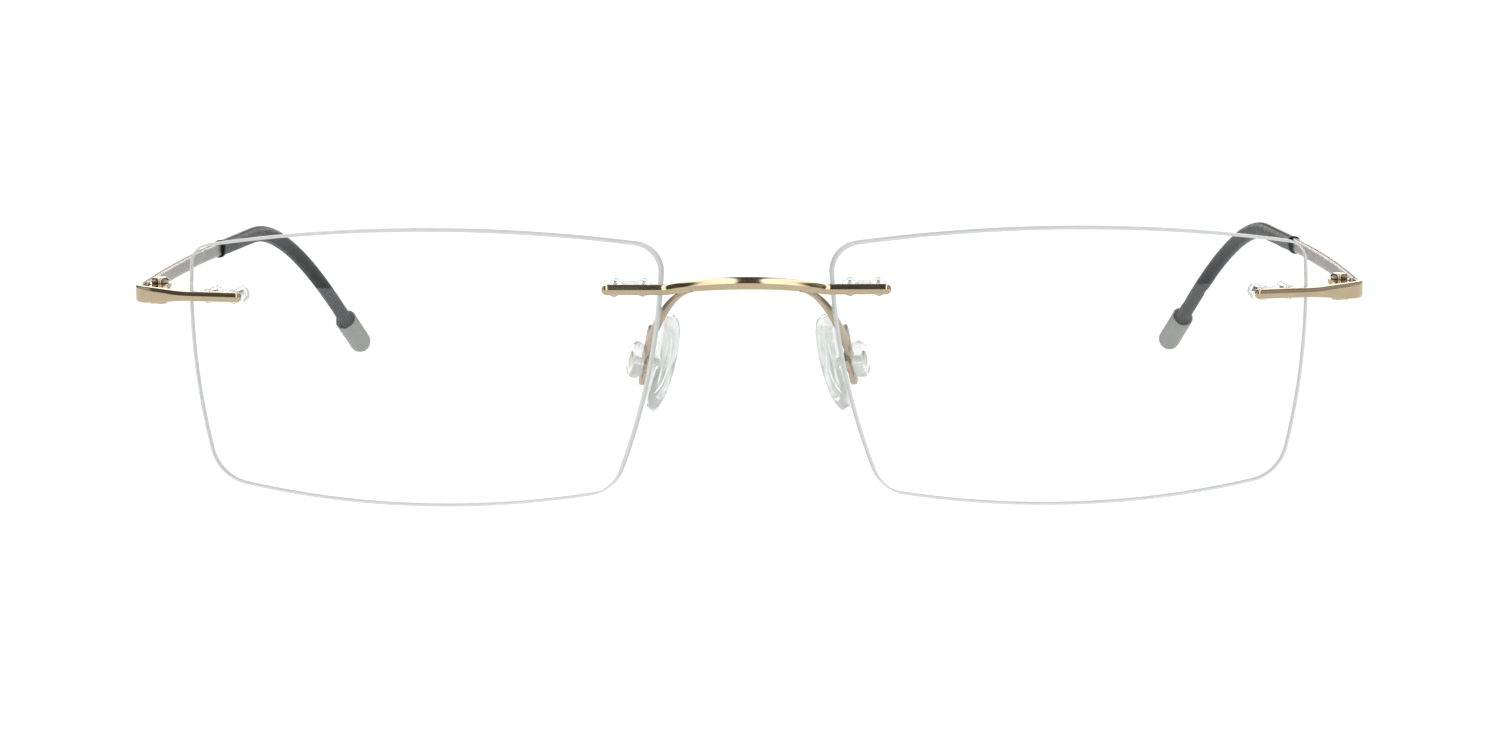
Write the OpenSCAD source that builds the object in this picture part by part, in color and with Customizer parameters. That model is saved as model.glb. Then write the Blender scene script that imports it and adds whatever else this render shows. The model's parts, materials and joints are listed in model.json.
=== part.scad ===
// Rimless eyeglasses: two drilled lenses held by a bridge and two end pieces,
// slim metal temples on screw hinges, dark sleeves and rounded end caps.
// Millimetres. +X is to the right seen from the front, +Y points back along the
// temples, +Z is up. The glasses stand open on their lens bottoms and end caps.

/* [Lenses] */
// Width of one lens across its outline
lens_width = 54; // [46:1:60]
// Height of one lens across its outline
lens_height = 31.2; // [26:0.1:44]
// Gap between the two lenses at their nasal edges
lens_gap = 18.4; // [14:0.1:24]
// Lens thickness
lens_thickness = 2.2; // [1.6:0.1:3]
// Radius of the lens front surface
lens_curve = 160; // [90:5:400]
// Angle each lens turns back towards its temple
wrap_angle = 8; // [0:0.5:12]

/* [Fittings] */
// Height of the bridge bar above the table
bridge_height = 24.65; // [18:0.05:28]
// Rise of the bridge at its middle
bridge_rise = 0.8; // [0:0.05:4]
// Forward bow of the bridge at its middle
bridge_bow = 0.9; // [0:0.1:4]
// Radius of the bridge bar at its ends
bar_radius = 0.58; // [0.4:0.02:0.9]
// Height of the end pieces and hinges
hinge_height = 23.35; // [18:0.05:28]
// Radius of the hinge screw shaft
screw_radius = 0.5; // [0.4:0.05:0.7]
// Radial clearance of the moving hinge knuckle on its screw
hinge_clearance = 0.04; // [0.02:0.01:0.1]

/* [Temples] */
// Overall width across the hinge corners, outside to outside
frame_width = 138.8; // [128:0.2:150]
// Length of the straight run from the hinge to the bend
temple_straight = 83.5; // [75:0.5:100]
// Radius of the bend behind the ear
bend_radius = 74; // [30:1:90]
// Angle the bend turns down
bend_angle = 35.5; // [20:0.5:50]
// Angle the temple flares out at the hinge
hinge_flare = 0.7; // [0:0.1:3]
// Angle the temple turns in towards the head at the sleeve
sleeve_inward = 3.55; // [0:0.05:8]
// Angle the tip turns in towards the head
tip_inward = 13.3; // [0:0.1:30]
// Distance from the hinge to the mouth of the sleeve
sleeve_start = 61; // [40:1:80]
// Length of the end cap
cap_length = 7.9; // [5:0.1:12]
// Radius of the end cap
cap_radius = 1.5; // [1.2:0.05:2]

/* [Nose pads] */
// Height of a nose pad
pad_height = 11.2; // [8:0.2:16]
// Width of a nose pad
pad_width = 6.6; // [4:0.2:9]
// Lean of the pads, bottoms apart
pad_splay = 11; // [0:1:30]
// Angle the pads open towards the back
pad_open = 16; // [0:1:40]

/* [Display] */
// Sub-part to show, by node name, or all

/* [Hidden] */

gold = [0.72, 0.58, 0.43];
clear = [0.86, 0.92, 0.92, 0.45];
steel = [0.62, 0.62, 0.61];
slate = [0.2, 0.23, 0.26];
satin = [0.62, 0.62, 0.6];

// lens placing: the lens frame has its origin on the front surface at the outline centre
half_width = lens_width / 2;
half_height = lens_height / 2;
lens_x = lens_gap / 2 + half_width * cos(wrap_angle)
         + (sag(half_width, 0) + lens_thickness) * sin(wrap_angle);

// mounting points, in the lens frame, and the two holes at each
nasal_x = -23.45;
nasal_pitch = 3.2;
temporal_x = 23.13;
temporal_pitch = 3.1;
hole_radius = 0.82;
sleeve_wall = 0.02;
post_radius = 0.5;
bar_gap = 0.2;
nasal_turn = wrap_angle + asin(nasal_x / lens_curve);
temporal_turn = wrap_angle + asin(temporal_x / lens_curve);
nasal_point = on_front(nasal_x, bridge_height);
temporal_point = on_front(temporal_x, hinge_height);

// end piece path: a straight bar, a round corner, then straight back
strip_half = 0.38;
strip_rise = 0.95;
side_x = frame_width / 2 - strip_half;
corner_radius = 2.8;
bar_offset = bar_gap + bar_radius;
bar_point = [temporal_point[0] + bar_offset * sin(temporal_turn),
             temporal_point[1] - bar_offset * cos(temporal_turn)];
bar_end = side_x - corner_radius * (1 - sin(temporal_turn));
bar_inner = temporal_pitch / 2 + 1.25;
straight_length = (bar_end - bar_point[0]) / cos(temporal_turn);
corner_point = [bar_end, bar_point[1] + straight_length * sin(temporal_turn)];
corner_centre = [bar_end - corner_radius * sin(temporal_turn),
                 corner_point[1] + corner_radius * cos(temporal_turn)];
split_y = corner_centre[1] + 1.3;

// hinge: the axis stands upright inside the corner
axis_x = side_x - 1.95;
axis_y = split_y + 2;
knuckle_radius = 1.3;
neck_start = 3.5;
lug_bottom = hinge_height - 1.4;
lug_top = hinge_height + 0.72;
leaf_bottom = hinge_height - 0.68;
leaf_top = hinge_height + 0.1;
washer_height = 0.1;
washer_gap = 0.03;

// temple path, starting just behind the split
temple_y = split_y + 0.15;
start_slope = 1.2;
bow_start = 8;
drop = hinge_height - 0.05;
arc_length = bend_radius * bend_angle * PI / 180;
// the straight end is as long as it takes for the cap to reach the table
tip_straight = (drop - cap_radius - temple_straight * sin(start_slope)
                - bend_radius * (cos(start_slope) - cos(start_slope + bend_angle)))
               / sin(start_slope + bend_angle);
temple_length = temple_straight + arc_length + tip_straight;
cap_mouth = temple_length + cap_radius - cap_length;
tip_point = path(temple_length);

// the whole is set so that its box is centred front to back
front_y = nasal_point[1] - bar_offset - bridge_bow - 0.62;
centre_y = (front_y + tip_point[1] + cap_radius) / 2;

// depth of the front surface behind its apex
function sag(x, z) = lens_curve - sqrt(lens_curve * lens_curve - x * x - z * z);
// point of the right lens's front surface, in plan
function on_front(x, z) = [lens_x + x * cos(wrap_angle) - sag(x, z - half_height) * sin(wrap_angle),
                           x * sin(wrap_angle) + sag(x, z - half_height) * cos(wrap_angle)];
function smooth(t) = t <= 0 ? 0 : t >= 1 ? 1 : t * t * (3 - 2 * t);
function unit(v) = v / norm(v);
// signed power, for rounded-square sections
function bulge(v, n) = sign(v) * pow(abs(v), 2 / n);

// Lens outline: four wide arcs joined by four corner arcs, counter-clockwise from the
// temporal side of the right lens. Each side is [centre, radius].
outline_sides = [[[half_width - 82, 9.1], 82], [[-1.8, half_height - 173], 173],
                 [[70.5 * cos(8) - half_width + 0.63, 4 + 70.5 * sin(8)], 70.5],
                 [[-0.7, 117.5 - half_height], 117.5]];
outline_corners = [2.4, 3.4, 4.4, 5];
outline_ways = [[1, 1], [-1, 1], [-1, -1], [1, -1]];
// the crossing of two circles that lies furthest in a given direction
function crossing(a, ra, b, rb, way) =
    let (d = norm(b - a), u = (b - a) / d, k = (ra * ra - rb * rb + d * d) / (2 * d),
         h = sqrt(ra * ra - k * k), p = a + k * u + h * [-u[1], u[0]], q = a + k * u - h * [-u[1], u[0]])
    p * way > q * way ? p : q;
function corner(i) =
    let (a = outline_sides[i], b = outline_sides[(i + 1) % 4], r = outline_corners[i])
    crossing(a[0], a[1] - r, b[0], b[1] - r, outline_ways[i]);
function heading(v) = atan2(v[1], v[0]);
function onward(a, b) = b < a ? b + 360 : b;
function outline() = [for (i = [0:3])
    let (a = outline_sides[i][0], r = outline_sides[i][1], b = outline_sides[(i + 1) % 4][0],
         from = heading(corner((i + 3) % 4) - a), to = onward(from, heading(corner(i) - a)),
         turn = onward(to, heading(corner(i) - b)))
    each concat([for (k = [0:11]) a + r * [cos(from + (to - from) * k / 12),
                                           sin(from + (to - from) * k / 12)]],
                [for (k = [0:9]) corner(i) + outline_corners[i] * [cos(to + (turn - to) * k / 10),
                                                                   sin(to + (turn - to) * k / 10)]])];

// how far the temple has come in at a distance s: straight, bowed up to the sleeve, straight
function come_in(s) =
    let (a = -tan(hinge_flare), b = tan(sleeve_inward), n = sleeve_start - bow_start,
         u = min(max(s - bow_start, 0), n))
    a * s + (b - a) * (u * u / (2 * n) + max(s - sleeve_start, 0));
// temple centre line at a distance s from its front end, for the right side
function path(s) =
    let (a = start_slope, e = start_slope + bend_angle,
         u = min(s, temple_straight), v = min(max(s - temple_straight, 0), arc_length),
         w = max(s - temple_straight - arc_length, 0), g = a + v / bend_radius * 180 / PI,
         k = (tan(tip_inward) - tan(sleeve_inward)) / arc_length)
    [side_x - come_in(s) - k * v * v / 2 - k * arc_length * w,
     temple_y + u * cos(a) + bend_radius * (sin(g) - sin(a)) + w * cos(e),
     drop - u * sin(a) - bend_radius * (cos(a) - cos(g)) - w * sin(e)];

// Solid along a list of centres: each section is a rounded rectangle of half sizes
// sizes[i] = [side, up], squareness 2 being an ellipse
module sweep(centres, sizes, squareness, sides) {
    n = len(centres);
    rings = [for (i = [0:n - 1])
        let (t = unit(centres[min(i + 1, n - 1)] - centres[max(i - 1, 0)]),
             side = unit(cross(t, [0, 0, 1])), up = cross(side, t))
        each [for (j = [0:sides - 1])
            centres[i] + side * sizes[i][0] * bulge(cos(360 * j / sides), squareness[i])
                       + up * sizes[i][1] * bulge(sin(360 * j / sides), squareness[i])]];
    walls = [for (i = [0:n - 2]) for (j = [0:sides - 1])
        let (a = i * sides + j, b = i * sides + (j + 1) % sides)
        each [[a, b, b + sides], [a, b + sides, a + sides]]];
    ends = [[for (j = [0:sides - 1]) sides - 1 - j],
            [for (j = [0:sides - 1]) (n - 1) * sides + j]];
    polyhedron(points = rings, faces = concat(walls, ends));
}

module placed() {
    translate([0, -centre_y, 0]) children();
}

// right side as drawn, left side mirrored
module sided(left) {
    placed() mirror([left ? 1 : 0, 0, 0]) children();
}

module lens_frame() {
    translate([lens_x, 0, 0]) rotate([0, 0, wrap_angle]) children();
}

module nasal_frame() {
    translate([nasal_point[0], nasal_point[1], bridge_height]) children();
}

module temporal_frame() {
    translate([temporal_point[0], temporal_point[1], hinge_height]) rotate([0, 0, temporal_turn])
        children();
}

// round pin along Y from y0 to y1
module pin(x, y0, y1, r) {
    translate([x, y0, 0]) rotate([-90, 0, 0]) cylinder(r = r, h = y1 - y0, $fn = 32);
}

module pair_of_pins(pitch, y0, y1, r) {
    pin(-pitch / 2, y0, y1, r);
    pin(pitch / 2, y0, y1, r);
}

module lens() {
    difference() {
        intersection() {
            lens_frame() difference() {
                translate([0, lens_curve, half_height]) sphere(r = lens_curve, $fn = 200);
                translate([0, lens_curve, half_height])
                    sphere(r = lens_curve - lens_thickness, $fn = 200);
            }
            lens_frame() translate([0, 12, half_height]) rotate([90, 0, 0])
                linear_extrude(height = 20) polygon(outline());
        }
        nasal_frame() pair_of_pins(nasal_pitch, -3, 6, hole_radius);
        temporal_frame() pair_of_pins(temporal_pitch, -3, 6, hole_radius);
    }
}

// two flanged sleeves through the lens joined by a plate behind it
module plug(pitch) {
    back = lens_thickness + 0.1;
    difference() {
        union() {
            pair_of_pins(pitch, 0.15, back + 0.4, hole_radius - sleeve_wall);
            pair_of_pins(pitch, back, back + 0.75, 0.95);
            translate([-pitch / 2, back, -0.7]) cube([pitch, 0.75, 1.4]);
        }
        pair_of_pins(pitch, -1, back + 0.55, post_radius + 0.01);
    }
}

bridge_half = nasal_point[0] + nasal_pitch / 2 + 1.4;
arch_half = 7;
knee = 8.1;
arch_end = 9.4;
arch_slope = 1 / (arch_half / 2 + 1.35 * (knee - arch_half) + 0.85 * (arch_end - knee));
// share of the rise and bow left at x: a shallow arc, a steeper knee, then flat
function arch(x) =
    let (u = abs(x), a = arch_slope, b = 1.7 * arch_slope, e = max(0, arch_end - u))
    u < arch_half ? 1 - a * u * u / (2 * arch_half)
    : u < knee ? let (v = u - arch_half, w = knee - arch_half)
                 1 - a * arch_half / 2 - a * v - (b - a) * v * v / (2 * w)
    : b * e * e / (2 * (arch_end - knee));
function bridge_at(x) =
    let (t = arch(x))
    [x, nasal_point[1] - bar_offset - bridge_bow * t, bridge_height + bridge_rise * t];
function bridge_size(x) =
    let (e = max(0, 1 - (bridge_half - abs(x)) / 0.55), c = sqrt(max(0.04, 1 - e * e)),
         t = 1 - smooth(abs(x) / 11))
    [(bar_radius + 0.04 * t) * c, (bar_radius + 0.12 * t) * c];
bridge_xs = [for (k = [-27:27])
    let (e = abs(k) / 27) sign(k) * bridge_half * (e > 0.8 ? 1 - pow((1 - e) / 0.2, 2) * 0.2 : e)];

module bridge_bar() {
    sweep([for (x = bridge_xs) bridge_at(x)], [for (x = bridge_xs) bridge_size(x)],
          [for (x = bridge_xs) 2.3], 20);
}

module bridge() {
    color(gold) placed() {
        bridge_bar();
        nasal_frame() pair_of_pins(nasal_pitch, -bar_offset, lens_thickness + 0.6, post_radius);
        mirror([1, 0, 0]) nasal_frame()
            pair_of_pins(nasal_pitch, -bar_offset, lens_thickness + 0.6, post_radius);
    }
}

// centre line of an end piece: u runs from its inner tip to the split behind the corner
end_total = bar_inner + straight_length + corner_radius * (90 - temporal_turn) * PI / 180
            + split_y - corner_centre[1];
function end_at(u) =
    let (a = bar_inner + straight_length, b = corner_radius * (90 - temporal_turn) * PI / 180)
    u < a ? [bar_point[0] + (u - bar_inner) * cos(temporal_turn),
             bar_point[1] + (u - bar_inner) * sin(temporal_turn), hinge_height]
    : u < a + b ? let (g = temporal_turn - 90 + (u - a) / corner_radius * 180 / PI)
        [corner_centre[0] + corner_radius * cos(g), corner_centre[1] + corner_radius * sin(g),
         hinge_height]
    : [side_x, corner_centre[1] + u - a - b, hinge_height];
function end_size(u) =
    let (e = max(0, 1 - u / 0.5), c = sqrt(max(0.05, 1 - e * e)), t = smooth((u - 6) / 6.5))
    [((1 - t) * bar_radius + t * strip_half) * c,
     ((1 - t) * bar_radius + t * strip_rise) * c];
end_us = concat([for (k = [0:4]) k * k / 16 * 0.5], [for (k = [1:8]) 0.5 + k * 0.68],
                [for (k = [1:22]) 5.94 + (end_total - 5.94) * k / 22]);

module end_piece() {
    difference() {
        union() {
            sweep([for (u = end_us) end_at(u)], [for (u = end_us) end_size(u)],
                  [for (u = end_us) 2.3 + 2.2 * smooth((u - 6) / 6.5)], 20);
            temporal_frame() pair_of_pins(temporal_pitch, -bar_offset, lens_thickness + 0.6,
                                          post_radius);
            translate([axis_x - 1, corner_point[1] + 0.17, hinge_height - strip_rise + 0.1])
                cube([1.8, axis_y - corner_point[1] - knuckle_radius - 0.27,
                      lug_top - hinge_height + strip_rise - 0.1]);
            translate([axis_x - 1, corner_point[1] + neck_start, lug_bottom])
                cube([1.8, axis_y - corner_point[1] - knuckle_radius - 0.1 - neck_start,
                      hinge_height - lug_bottom]);
            hinge_lug(lug_bottom, leaf_bottom - washer_height - 2 * washer_gap);
            hinge_lug(leaf_top + washer_height + 2 * washer_gap, lug_top);
        }
        translate([axis_x, axis_y, 0]) cylinder(r = screw_radius + 0.01, h = 60, $fn = 32);
    }
}

module hinge_lug(z0, z1) {
    translate([axis_x, axis_y, z0]) cylinder(r = knuckle_radius, h = z1 - z0, $fn = 48);
    translate([axis_x - 1, corner_point[1] + neck_start, z0])
        cube([1.8, axis_y - corner_point[1] - neck_start, z1 - z0]);
}

// cheese head with a screwdriver slot
module hinge_screw() {
    translate([axis_x, axis_y, 0]) difference() {
        union() {
            translate([0, 0, lug_bottom - 0.15])
                cylinder(r = screw_radius, h = lug_top - lug_bottom + 0.25, $fn = 32);
            translate([0, 0, lug_bottom - 0.3])
                cylinder(r1 = screw_radius - 0.2, r2 = screw_radius, h = 0.15, $fn = 32);
            translate([0, 0, lug_top + 0.01]) cylinder(r = 1, h = 0.45, $fn = 48);
            translate([0, 0, lug_top + 0.46]) cylinder(r1 = 1, r2 = 0.78, h = 0.2, $fn = 48);
        }
        rotate([0, 0, 20]) translate([-2, -0.14, lug_top + 0.36]) cube([4, 0.28, 1]);
    }
}

module washer(z) {
    translate([axis_x, axis_y, z]) difference() {
        cylinder(r = 1.15, h = washer_height, $fn = 48);
        translate([0, 0, -1]) cylinder(r = screw_radius + 0.02, h = 3, $fn = 32);
    }
}

// frame at the front end of the temple, y running back along it
module temple_frame() {
    translate([side_x, temple_y, drop]) rotate([-start_slope, 0, -hinge_flare]) children();
}

// flat strip with rounded edges along the temple from s0 to s1
module strip(half_thick, half_tall, s0, s1) {
    n = max(4, ceil((s1 - s0) / 3));
    sweep([for (k = [0:n]) path(s0 + (s1 - s0) * k / n)],
          [for (k = [0:n]) [half_thick, half_tall]], [for (k = [0:n]) 4], 20);
}

module temple() {
    strip(strip_half, 0.92, 0, sleeve_start + 17);
}

module hinge_leaf() {
    difference() {
        union() {
            translate([axis_x, axis_y, leaf_bottom])
                cylinder(r = knuckle_radius - 0.05, h = leaf_top - leaf_bottom, $fn = 48);
            difference() {
                translate([axis_x, axis_y - 0.9, leaf_bottom])
                    cube([2.6, 1.8, leaf_top - leaf_bottom]);
                temple_frame() translate([-strip_half, -5, -5]) cube([10, 30, 10]);
            }
            temple_frame() translate([-strip_half - 0.5, 0.35, -0.55]) cube([0.5, 6.5, 0.7]);
            temple_frame() translate([-strip_half - 0.3, 0.42, -0.55])
                cylinder(r = 0.36, h = 1.25, $fn = 24);
            temple_frame() translate([-strip_half - 0.3, 0.42, 0.7]) sphere(r = 0.36, $fn = 24);
        }
        translate([axis_x, axis_y, 0])
            cylinder(r = screw_radius + hinge_clearance, h = 60, $fn = 32);
        temple_frame() translate([-strip_half, -5, -5]) cube([10, 30, 10]);
    }
}

function sleeve_size(s) =
    let (m = smooth((s - sleeve_start) / 2.5), g = smooth((s - sleeve_start - 4) / 26),
         e = smooth((s - cap_mouth + 22) / 20))
    [0.9 - 0.08 * m + 0.06 * g, 1.12 - 0.12 * m + 0.02 * g - 0.04 * e];
sleeve_end = cap_mouth + 4;
sleeve_ss = concat([for (k = [0:4]) sleeve_start + k * 0.6],
                   [for (k = [1:6]) sleeve_start + 2.4 + (temple_straight - sleeve_start - 2.4) * k / 6],
                   [for (k = [1:20]) temple_straight + (sleeve_end - temple_straight) * k / 20]);

module temple_sleeve() {
    difference() {
        sweep([for (s = sleeve_ss) path(s)], [for (s = sleeve_ss) sleeve_size(s)],
              [for (s = sleeve_ss) 2.2], 20);
        strip(strip_half + 0.03, 0.95, sleeve_start + 1, sleeve_start + 17.3);
        strip(0.65, 0.98, sleeve_start - 1, sleeve_start + 1.6);
    }
}

// frame at the tip with +Z running back up the cap
module tip_frame() {
    back = path(temple_length - 3) - tip_point;
    translate(tip_point) rotate([0, acos(back[2] / norm(back)), heading([back[0], back[1]])])
        children();
}

module end_cap() {
    body = cap_length - cap_radius;
    tip_frame() difference() {
        union() {
            sphere(r = cap_radius, $fn = 64);
            cylinder(r = cap_radius, h = body - 0.25, $fn = 64);
            translate([0, 0, body - 0.25]) cylinder(r1 = cap_radius, r2 = cap_radius - 0.12,
                                                    h = 0.25, $fn = 64);
        }
        translate([0, 0, body - 4.2]) cylinder(r = 1.22, h = 10, $fn = 48);
        translate([0, 0, body - 0.7]) cylinder(r = 1.3, h = 10, $fn = 48);
    }
}

// pad frame: origin at the middle of the pad, +X away from the nose, +Z up the pad
pad_point = [9.6, 8.2, 15.2];
module pad_frame() {
    translate(pad_point) rotate([0, 0, -pad_open]) rotate([0, -pad_splay, 0]) children();
}
plate_x = 2.05;
plate_thick = 0.55;
button_x = 2.75;

// arm centre line in plan frame: from the underside of the bridge, back past the lens
// edge, to the pad holder
arm_from = [5.9, nasal_point[1] - bar_offset - 0.15, bridge_height + 0.05];
arm_by = [8.7, -1.9, 24.2];
arm_near = [10.3, 4.4, 20.2];
arm_to = [11.95, 7.55, 15.2];
function arm_at(t) = pow(1 - t, 3) * arm_from + 3 * t * pow(1 - t, 2) * arm_by
                     + 3 * t * t * (1 - t) * arm_near + pow(t, 3) * arm_to;

module pad_arm() {
    difference() {
        union() {
            sweep([for (k = [0:24]) arm_at(k / 24)],
                  [for (k = [0:24]) [0.52 - 0.12 * smooth((k - 6) / 16) + 0.4 * pow(max(0, 1 - k / 6), 2),
                                     0.3 + 0.25 * smooth((k - 6) / 16)]],
                  [for (k = [0:24]) 3.2], 16);
            pad_frame() translate([plate_x - plate_thick / 2, 0, 0]) rotate([0, 90, 0])
                cylinder(r = 1.55, h = plate_thick, $fn = 48);
            pad_frame() translate([plate_x - plate_thick / 2, -0.85, -1.9])
                cube([plate_thick, 1.7, 5.2]);
            pad_frame() translate([plate_x - plate_thick / 2, 0, 3.3]) rotate([0, 90, 0])
                cylinder(r = 0.85, h = plate_thick, $fn = 32);
            pad_frame() translate([plate_x - plate_thick / 2, 0, -1.9]) rotate([0, 90, 0])
                cylinder(r = 0.85, h = plate_thick, $fn = 32);
        }
        pad_frame() rotate([0, 90, 0]) cylinder(r = 0.86, h = 6, $fn = 32);
        pad_frame() translate([plate_x + plate_thick / 2, 0, 0]) rotate([0, 90, 0])
            cylinder(r = 2.6, h = 6, $fn = 48);
        pad_frame() translate([plate_x - plate_thick / 2 - 6, 0, 0]) rotate([0, 90, 0])
            cylinder(r = 1.6, h = 6, $fn = 48);
        bridge_bar();
    }
}

// egg-shaped pillow: layers of the outline stacked through the thickness
pad_layers = [[-0.78, 0.55], [-0.74, 0.75], [-0.62, 0.9], [-0.4, 0.98], [-0.1, 1],
              [0.2, 0.97], [0.42, 0.88], [0.52, 0.72]];
module pad_pillow() {
    sides = 40;
    n = len(pad_layers);
    points = [for (l = pad_layers) each [for (j = [0:sides - 1])
        let (a = -360 * j / sides, z = pad_height / 2 * bulge(sin(a), 2.7),
             w = pad_width / 2 * bulge(cos(a), 2.7))
        [l[0] + 0.012 * z * z, l[1] * w * (1 + 0.1 * z / pad_height), z * (1 - (1 - l[1]) * 0.45)]]];
    walls = [for (i = [0:n - 2]) for (j = [0:sides - 1])
        let (a = i * sides + j, b = i * sides + (j + 1) % sides)
        each [[a, b, b + sides], [a, b + sides, a + sides]]];
    caps = [for (j = [1:sides - 2]) each [[0, j + 1, j],
            [(n - 1) * sides, (n - 1) * sides + j, (n - 1) * sides + j + 1]]];
    polyhedron(points = points, faces = concat(walls, caps));
}

module nose_pad() {
    pad_frame() difference() {
        union() {
            rotate([0, -3.5, 0]) pad_pillow();
            rotate([0, 90, 0]) cylinder(r = 0.74, h = button_x - 0.01, $fn = 32);
        }
        translate([0.2, 0, 0]) rotate([0, 90, 0]) cylinder(r = 0.37, h = 6, $fn = 32);
    }
}

// flat round retainer on the far side of the arm
module pad_button() {
    pad_frame() translate([button_x, 0, 0]) rotate([0, 90, 0]) difference() {
        union() {
            cylinder(r1 = 1.95, r2 = 2.1, h = 0.2, $fn = 64);
            translate([0, 0, 0.2]) cylinder(r = 2.1, h = 0.6, $fn = 64);
            translate([0, 0, 0.8]) cylinder(r1 = 2.1, r2 = 1.8, h = 0.3, $fn = 64);
        }
        translate([0, 0, -1]) cylinder(r = 0.37, h = 4, $fn = 32);
        translate([0, 0, 0.75]) cylinder(r = 0.95, h = 4, $fn = 32);
    }
}

module pad_core() {
    pad_frame() rotate([0, 90, 0]) {
        translate([0, 0, 0.25]) cylinder(r = 0.36, h = button_x + 0.51, $fn = 32);
        translate([0, 0, button_x + 0.76]) cylinder(r = 0.9, h = 0.25, $fn = 48);
    }
}

module left_lens() { color(clear) sided(true) lens(); }
module right_lens() { color(clear) sided(false) lens(); }
module left_nasal_plug() { color(clear) sided(true) nasal_frame() plug(nasal_pitch); }
module right_nasal_plug() { color(clear) sided(false) nasal_frame() plug(nasal_pitch); }
module left_temporal_plug() { color(clear) sided(true) temporal_frame() plug(temporal_pitch); }
module right_temporal_plug() { color(clear) sided(false) temporal_frame() plug(temporal_pitch); }
module left_end_piece() { color(gold) sided(true) end_piece(); }
module right_end_piece() { color(gold) sided(false) end_piece(); }
module left_hinge_screw() { color(gold) sided(true) hinge_screw(); }
module right_hinge_screw() { color(gold) sided(false) hinge_screw(); }
module hinge_washers() {
    washer(leaf_bottom - washer_gap - washer_height);
    washer(leaf_top + washer_gap);
}
module left_hinge_washers() { color(steel) sided(true) hinge_washers(); }
module right_hinge_washers() { color(steel) sided(false) hinge_washers(); }
module left_hinge_leaf() { color(gold) sided(true) hinge_leaf(); }
module right_hinge_leaf() { color(gold) sided(false) hinge_leaf(); }
module left_temple() { color(steel) sided(true) temple(); }
module right_temple() { color(steel) sided(false) temple(); }
module left_temple_sleeve() { color(slate) sided(true) temple_sleeve(); }
module right_temple_sleeve() { color(slate) sided(false) temple_sleeve(); }
module left_end_cap() { color(satin) sided(true) end_cap(); }
module right_end_cap() { color(satin) sided(false) end_cap(); }
module left_pad_arm() { color(gold) sided(true) pad_arm(); }
module right_pad_arm() { color(gold) sided(false) pad_arm(); }
module left_nose_pad() { color(clear) sided(true) nose_pad(); }
module right_nose_pad() { color(clear) sided(false) nose_pad(); }
module left_pad_button() { color(clear) sided(true) pad_button(); }
module right_pad_button() { color(clear) sided(false) pad_button(); }
module left_pad_core() { color(gold) sided(true) pad_core(); }
module right_pad_core() { color(gold) sided(false) pad_core(); }

bridge();
left_lens();
right_lens();
left_nasal_plug();
right_nasal_plug();
left_temporal_plug();
right_temporal_plug();
left_end_piece();
right_end_piece();
left_hinge_screw();
right_hinge_screw();
left_hinge_washers();
right_hinge_washers();
left_hinge_leaf();
right_hinge_leaf();
left_temple();
right_temple();
left_temple_sleeve();
right_temple_sleeve();
left_end_cap();
right_end_cap();
left_pad_arm();
right_pad_arm();
left_nose_pad();
right_nose_pad();
left_pad_button();
right_pad_button();
left_pad_core();
right_pad_core();
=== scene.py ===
"""Rimless eyeglasses: fine meshes, materials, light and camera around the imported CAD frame.

Shapes are worked out in millimetres in a drawing frame for the right side, then moved into
the row frame in metres, with X mirrored for the left side. Drawing frame: +X right seen
from the front, +Y back along the temples, +Z up, lens apex plane at Y 0.
"""

import json
import math

import bmesh
import bpy
from mathutils import Matrix, Vector

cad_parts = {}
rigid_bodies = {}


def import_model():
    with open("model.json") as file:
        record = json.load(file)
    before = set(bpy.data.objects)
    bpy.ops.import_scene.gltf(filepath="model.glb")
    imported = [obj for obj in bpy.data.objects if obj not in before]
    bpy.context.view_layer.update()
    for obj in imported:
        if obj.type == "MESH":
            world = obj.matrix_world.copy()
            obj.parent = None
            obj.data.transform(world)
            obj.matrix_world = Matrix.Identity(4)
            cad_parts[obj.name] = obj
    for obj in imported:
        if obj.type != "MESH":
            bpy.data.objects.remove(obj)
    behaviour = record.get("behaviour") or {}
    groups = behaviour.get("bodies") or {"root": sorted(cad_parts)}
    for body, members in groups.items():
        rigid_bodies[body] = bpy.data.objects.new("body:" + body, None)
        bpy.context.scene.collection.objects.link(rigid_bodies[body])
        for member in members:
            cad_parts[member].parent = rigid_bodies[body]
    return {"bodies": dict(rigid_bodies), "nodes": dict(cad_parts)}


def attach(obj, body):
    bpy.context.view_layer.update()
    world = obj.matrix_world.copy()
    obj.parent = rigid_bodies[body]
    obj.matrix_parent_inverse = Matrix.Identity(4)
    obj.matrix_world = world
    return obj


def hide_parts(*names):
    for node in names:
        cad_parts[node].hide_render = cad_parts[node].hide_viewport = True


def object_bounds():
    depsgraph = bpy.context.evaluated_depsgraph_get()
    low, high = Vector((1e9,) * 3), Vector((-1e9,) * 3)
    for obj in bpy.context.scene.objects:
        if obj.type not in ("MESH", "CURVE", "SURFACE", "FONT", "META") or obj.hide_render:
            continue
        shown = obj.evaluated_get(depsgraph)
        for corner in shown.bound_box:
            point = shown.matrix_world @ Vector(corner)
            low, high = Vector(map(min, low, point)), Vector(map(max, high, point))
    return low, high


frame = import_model()
cad_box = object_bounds()
MM = 0.001

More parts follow.
